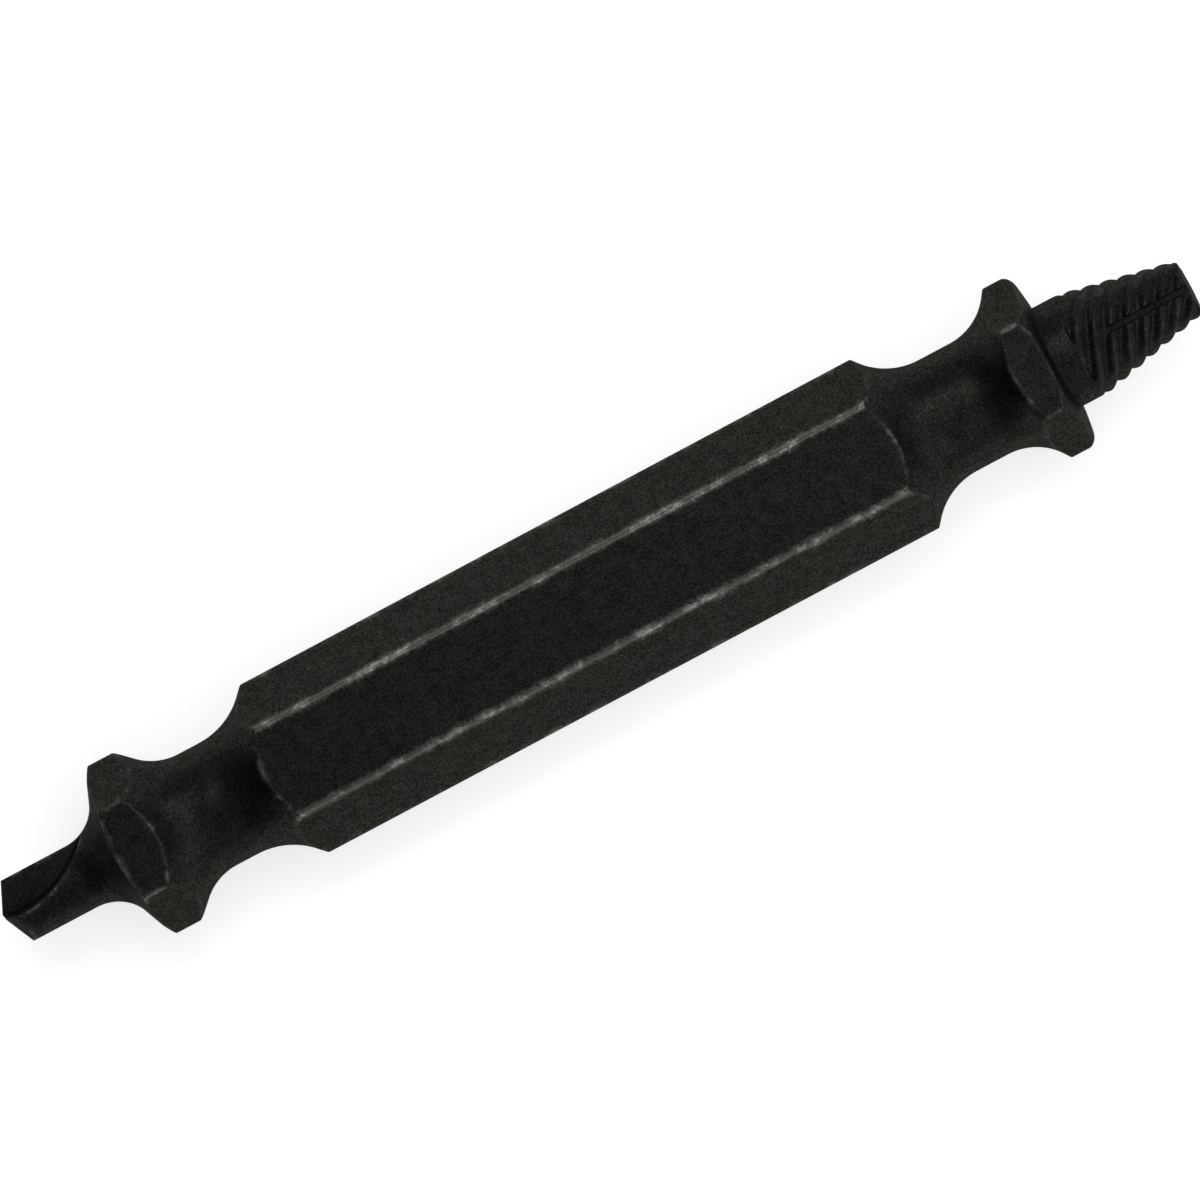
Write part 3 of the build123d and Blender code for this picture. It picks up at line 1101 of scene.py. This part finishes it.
@dataclass
class EffectGroups:
    """Shader node groups that the finishes share, each built once."""

    broad_grains: float = 0.16  # broad mottling and fine specks, against the grains to a millimetre
    speck_grains: float = 1.7
    grain_levels: tuple = (0.28, 0.72)  # levels of the noise that become 0 and 1
    mottle_levels: tuple = (0.3, 0.7)
    pit_levels: tuple = (0.62, 0.75)
    bare_levels: tuple = (0.48, 0.66)
    patches_per_mm: float = 1.3
    chips_per_mm: float = 7.0
    reach_span: tuple = (0.7, 1.3)  # narrowest and widest reach of the wear, against the one given
    spared: float = 0.60  # level of the patches that wear spares, and how far full rubbing lowers it
    spared_less: float = 0.45
    spared_rise: float = 0.16  # rise of the level over which the cover comes in, from its least
    least_cover: float = 0.3
    rubbed_to: float = 1.25  # shares of the reach at which rubbed and bright wear end
    bright_to: float = 0.6
    rub_gain: float = 1.6
    draw_lines: tuple = (0.25, 9.0, 9.0)  # marks to a millimetre along X, Y and Z
    lathe_rings: tuple = (16.0, 0.5, 0.5)
    grain: bpy.types.NodeTree = field(init=False)
    wear: bpy.types.NodeTree = field(init=False)
    marks: bpy.types.NodeTree = field(init=False)

    def __post_init__(self) -> None:
        """Builds the groups."""
        self.grain = self.build_grain()
        self.wear = self.build_wear()
        self.marks = self.build_marks()

    def start(self, name: str, takes: dict, gives: tuple) -> tuple:
        """Makes a group with named sockets.

        Args:
            name: Name of the group.
            takes: Starting value of each plain input, by name, after the place.
            gives: Names of the outputs, all plain values.

        Returns:
            The sheet, what the group is given, and the sockets of what it gives.
        """
        tree = bpy.data.node_groups.new(name, "ShaderNodeTree")
        sheet = NodeSheet(tree)
        tree.interface.new_socket("Place", in_out="INPUT", socket_type="NodeSocketVector")
        for label, value in takes.items():
            socket = tree.interface.new_socket(label, in_out="INPUT", socket_type="NodeSocketFloat")
            socket.default_value = value
        for label in gives:
            tree.interface.new_socket(label, in_out="OUTPUT", socket_type="NodeSocketFloat")
        return sheet, sheet.node("NodeGroupInput").outputs, sheet.node("NodeGroupOutput").inputs

    def build_grain(self) -> bpy.types.NodeTree:
        """Fine mottled grain of the blackened surface, at three sizes."""
        sheet, given, out = self.start("satin_grain", {"Grains": 9.0}, ("Grain", "Mottle", "Pits"))
        place, grains = given["Place"], given["Grains"]
        fine = sheet.noise(place, grains, detail=3.0, roughness=0.65)
        broad_scale = sheet.math("MULTIPLY", grains, self.broad_grains)
        broad = sheet.noise(place, broad_scale, detail=4.0, roughness=0.6)
        speck = sheet.noise(place, sheet.math("MULTIPLY", grains, self.speck_grains), detail=1.0)
        sheet.feed(out["Grain"], sheet.ramp(fine, *self.grain_levels))
        sheet.feed(out["Mottle"], sheet.ramp(broad, *self.mottle_levels))
        sheet.feed(out["Pits"], sheet.ramp(speck, *self.pit_levels))
        return sheet.tree

    def build_wear(self) -> bpy.types.NodeTree:
        """Where handling has rubbed the black off the edges, in broken patches."""
        takes = {"Gap": 1.0, "Reach": 0.1, "Broken": 0.5, "Rub": 1.0}
        sheet, given, out = self.start("worn_edges", takes, ("Rubbed", "Bright"))
        place, rub = given["Place"], given["Rub"]
        patches = sheet.noise(place, self.patches_per_mm, detail=3.0, roughness=0.6)
        chips = sheet.noise(place, self.chips_per_mm, detail=2.0, roughness=0.6)
        breaking = sheet.math("MULTIPLY", sheet.math("SUBTRACT", chips, 0.5), given["Broken"])
        wider = sheet.ramp(patches, *self.mottle_levels, *self.reach_span)
        reach = sheet.math("MULTIPLY", given["Reach"], wider)
        share = sheet.math("ADD", sheet.math("DIVIDE", given["Gap"], reach), breaking)
        spared = sheet.math("SUBTRACT", self.spared, sheet.math("MULTIPLY", rub, self.spared_less))
        covered = sheet.math("ADD", spared, self.spared_rise)
        cover = sheet.ramp(patches, spared, covered, self.least_cover, 1.0)
        rubbed = sheet.math("MULTIPLY", sheet.ramp(share, 0.0, self.rubbed_to, 1.0, 0.0), cover)
        bare = sheet.ramp(patches, *self.bare_levels)
        bright = sheet.math("MULTIPLY", sheet.ramp(share, 0.0, self.bright_to, 1.0, 0.0), bare)
        strength = sheet.math("MULTIPLY", rub, self.rub_gain, clamp=True)
        sheet.feed(out["Rubbed"], sheet.math("MULTIPLY", rubbed, strength))
        sheet.feed(out["Bright"], sheet.math("MULTIPLY", bright, rub))
        return sheet.tree

    def build_marks(self) -> bpy.types.NodeTree:
        """Fine rings left by the lathe tool, and the long draw lines of the bar's flats."""
        sheet, given, out = self.start("tool_marks", {"Turned": 0.0}, ("Height",))
        lines, rings = (
            sheet.noise(sheet.scaled(given["Place"], stretch), 1.0)
            for stretch in (self.draw_lines, self.lathe_rings)
        )
        sheet.feed(out["Height"], sheet.mix_value(given["Turned"], lines, rings))
        return sheet.tree


@dataclass(frozen=True)
class BlackOxideFinish:
    """Near-black oxide on steel: satin, finely mottled, rubbed lighter along its edges, with painted shade
    in its hollows.
    """

    dark: tuple = (0.0051, 0.0048, 0.0043, 1.0)
    light: tuple = (0.0302, 0.0286, 0.0256, 1.0)
    # Colour that the painted shade darkens towards.
    shade_colour: tuple = (0.0051, 0.0048, 0.0043, 1.0)
    rubbed: tuple = (0.105, 0.101, 0.094, 1.0)
    bright: tuple = (0.32, 0.31, 0.297, 1.0)
    grains_per_mm: float = 12.0
    mottle_share: float = 0.3
    dusty: float = 0.80  # metallic share of the lightest grains, which hold a little dry oxide
    dusty_span: tuple = (0.4, 0.95)  # levels of the grain between which the dry oxide comes in
    wear_reach: float = 0.18
    wear_broken: float = 1.3
    grazing: tuple = (0.500, 0.496, 0.489, 1.0)
    roughness: tuple = (0.30, 0.42)
    worn_roughness: float = 0.36
    # Roughness where the shade is painted.
    shade_roughness: float = 0.85
    grazing_roughness: float = 0.66
    grazing_span: tuple = (0.55, 0.82)  # share turned aside where the gloss starts to fade, and is gone
    relief: float = 0.0085  # in millimetres, and below the heights of grain and pits against it
    grain_height: float = 0.5
    pit_depth: float = 0.6

    def build(self, groups: EffectGroups) -> bpy.types.Material:
        """Makes the material.

        Args:
            groups: Effects shared by the finishes.
        """
        material = bpy.data.materials.new("black_oxide_steel")
        material.use_nodes = True
        sheet = NodeSheet(material.node_tree)
        place = sheet.scaled(sheet.node("ShaderNodeTexCoord").outputs["Object"], 1 / METRES)
        gap, turned, rub, painted_shade = (
            sheet.attribute(name) for name in ("edge_gap", "turned", "rub", "painted_shade")
        )
        grain = sheet.group(groups.grain, {"Place": place, "Grains": self.grains_per_mm})
        worn = {"Place": place, "Gap": gap, "Reach": self.wear_reach, "Broken": self.wear_broken}
        wear = sheet.group(groups.wear, worn | {"Rub": rub})
        marks = sheet.group(groups.marks, {"Place": place, "Turned": turned})

        mottled = sheet.math("MULTIPLY", grain["Grain"], 1 - self.mottle_share)
        tone = sheet.math("ADD", mottled, sheet.math("MULTIPLY", grain["Mottle"], self.mottle_share))
        colour = sheet.mix(tone, self.dark, self.light)
        # Painted shade: grooves, corners and end faces are darkened towards the shade colour.
        colour = sheet.mix(painted_shade, colour, self.shade_colour)
        colour = sheet.mix(wear["Rubbed"], colour, self.rubbed)
        colour = sheet.mix(wear["Bright"], colour, self.bright)

        rough = sheet.ramp(grain["Grain"], 0.0, 1.0, self.roughness[1], self.roughness[0])
        rough = sheet.mix_value(wear["Rubbed"], rough, self.worn_roughness)
        rough = sheet.mix_value(painted_shade, rough, self.shade_roughness)
        aside = sheet.fed("ShaderNodeLayerWeight", {"Blend": 0.5}).outputs["Facing"]
        rough = sheet.mix_value(sheet.ramp(aside, *self.grazing_span), rough, self.grazing_roughness)

        raised = sheet.math("MULTIPLY", grain["Grain"], self.grain_height)
        sunk = sheet.math("MULTIPLY", grain["Pits"], self.pit_depth)
        height = sheet.math("SUBTRACT", sheet.math("ADD", raised, marks["Height"]), sunk)
        relief = {"Strength": 1.0, "Distance": self.relief * METRES, "Height": height}
        surface = {
            "Specular Tint": self.grazing,
            "Base Color": colour,
            "Metallic": sheet.ramp(grain["Grain"], *self.dusty_span, 1.0, self.dusty),
            "Roughness": rough,
            "Normal": sheet.fed("ShaderNodeBump", relief).outputs[0],
        }
        shader = sheet.fed("ShaderNodeBsdfPrincipled", surface)
        sheet.fed("ShaderNodeOutputMaterial", {"Surface": shader.outputs[0]})
        return material


@dataclass(frozen=True)
class Lamp:
    """One long soft box beside the tool, level along it and leaned to face it."""

    name: str
    lean: float  # degrees from straight above, towards +Y
    distance: float  # metres, as the middle and the size
    middle: float  # along the tool
    size: tuple  # along the tool and across it
    watts: float

    def build(self) -> None:
        """Hangs the lamp."""
        light = bpy.data.lights.new(self.name, "AREA")
        light.shape = "RECTANGLE"
        light.size, light.size_y = self.size
        light.energy = self.watts
        lean = np.radians(self.lean)
        holder = in_scene(self.name, light)
        holder.location = (self.middle, self.distance * np.sin(lean), self.distance * np.cos(lean))
        holder.rotation_euler = (-lean, 0.0, 0.0)
        holder.visible_camera = False


@dataclass(frozen=True)
class Studio:
    """Pale floor, soft lamps and the camera of the photograph."""

    floor_half: float = 1.5  # metres
    lamps: tuple = (
        Lamp("soft_box_back", 29.0, 0.194, 0.057, (0.178, 0.080), 0.098),
        Lamp("soft_box_top", 2.0, 0.155, 0.066, (0.170, 0.080), 0.022),
        Lamp("soft_box_front", -48.0, 0.200, 0.110, (0.180, 0.160), 0.100),
    )
    sky_dark: float = 0.11
    sky_light: float = 0.46
    sky_span: tuple = (-0.85, 0.25)  # how far towards the thread the sky starts to brighten, and stops
    shown_white: float = 0.60
    tilt: float = 6.5  # degrees, as the roll
    roll: float = 28.03
    distance: float = 540.0  # millimetres, as the next three
    lens: float = 424.0
    sensor: float = 36.0
    aim: tuple = (0.285, 0.021, 3.175)

    def camera(self) -> None:
        """Makes the camera: straight above, leaned towards the thread and rolled."""
        tilt, roll = np.radians(self.tilt), np.radians(self.roll)
        back = Vector((np.sin(tilt), 0.0, np.cos(tilt)))
        level = Vector((np.cos(tilt), 0.0, -np.sin(tilt)))
        side = Vector((0.0, 1.0, 0.0))
        right = level * np.cos(roll) - side * np.sin(roll)
        up = level * np.sin(roll) + side * np.cos(roll)
        data = bpy.data.cameras.new("photo_camera")
        data.lens, data.sensor_width = self.lens, self.sensor
        data.clip_start, data.clip_end = 0.01, 10.0
        holder = in_scene("photo_camera", data)
        holder.rotation_mode = "QUATERNION"
        holder.rotation_quaternion = Matrix((right, up, back)).transposed().to_quaternion()
        holder.location = (Vector(self.aim) + back * self.distance) * METRES
        bpy.context.scene.camera = holder

    def seen_white(self, sheet: NodeSheet) -> Socket:
        """Share that is 1 for what the camera, gloss and glass see of the backdrop."""
        path = sheet.node("ShaderNodeLightPath").outputs
        seen = sheet.math("ADD", path["Is Camera Ray"], path["Is Glossy Ray"])
        return sheet.math("ADD", seen, path["Is Transmission Ray"], clamp=True)

    def floor(self) -> None:
        """Lays the floor, pale, with enough glow to the camera to show white."""
        half = self.floor_half
        mesh = bpy.data.meshes.new("studio_floor")
        corners = [(x * half, y * half, 0) for x, y in ((-1, -1), (1, -1), (1, 1), (-1, 1))]
        mesh.from_pydata(corners, [], [(0, 1, 2, 3)])
        material = bpy.data.materials.new("studio_white")
        material.use_nodes = True
        sheet = NodeSheet(material.node_tree)
        matt = sheet.fed("ShaderNodeBsdfDiffuse", {"Color": Tone.FLOOR.value})
        glow_share = sheet.math("MULTIPLY", self.seen_white(sheet), self.shown_white)
        glow = sheet.fed("ShaderNodeEmission", {"Color": Tone.WHITE.value, "Strength": glow_share})
        both = sheet.fed("ShaderNodeAddShader", {0: matt.outputs[0], 1: glow.outputs[0]})
        sheet.fed("ShaderNodeOutputMaterial", {"Surface": both.outputs[0]})
        mesh.materials.append(material)
        floor = in_scene("studio_floor", mesh)

    def world(self) -> None:
        """Plain sky that brightens from the drill's side to the thread's."""
        world = bpy.data.worlds.new("studio_sky")
        world.use_nodes = True
        sheet = NodeSheet(world.node_tree)
        towards = sheet.node("ShaderNodeTexCoord").outputs["Generated"]
        along = sheet.fed("ShaderNodeSeparateXYZ", {0: towards}).outputs["X"]
        sky = sheet.ramp(along, *self.sky_span, self.sky_dark, self.sky_light)
        background = sheet.fed("ShaderNodeBackground", {"Color": Tone.WHITE.value, "Strength": sky})
        sheet.fed("ShaderNodeOutputWorld", {"Surface": background.outputs[0]})
        bpy.context.scene.world = world

    def build(self) -> None:
        """Sets the stage."""
        bpy.context.scene.view_settings.view_transform = "Standard"
        self.camera()
        self.floor()
        self.world()
        for lamp in self.lamps:
            lamp.build()


def main() -> None:
    """Builds the studio and the tool."""
    logging.basicConfig(level=logging.INFO, format="%(name)s: %(message)s")
    Studio().build()
    piece = Extractor().build()
    piece.data.materials.append(BlackOxideFinish().build(EffectGroups()))
    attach(piece, "root")
    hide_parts("screw_extractor")


if __name__ == "__main__":
    main()
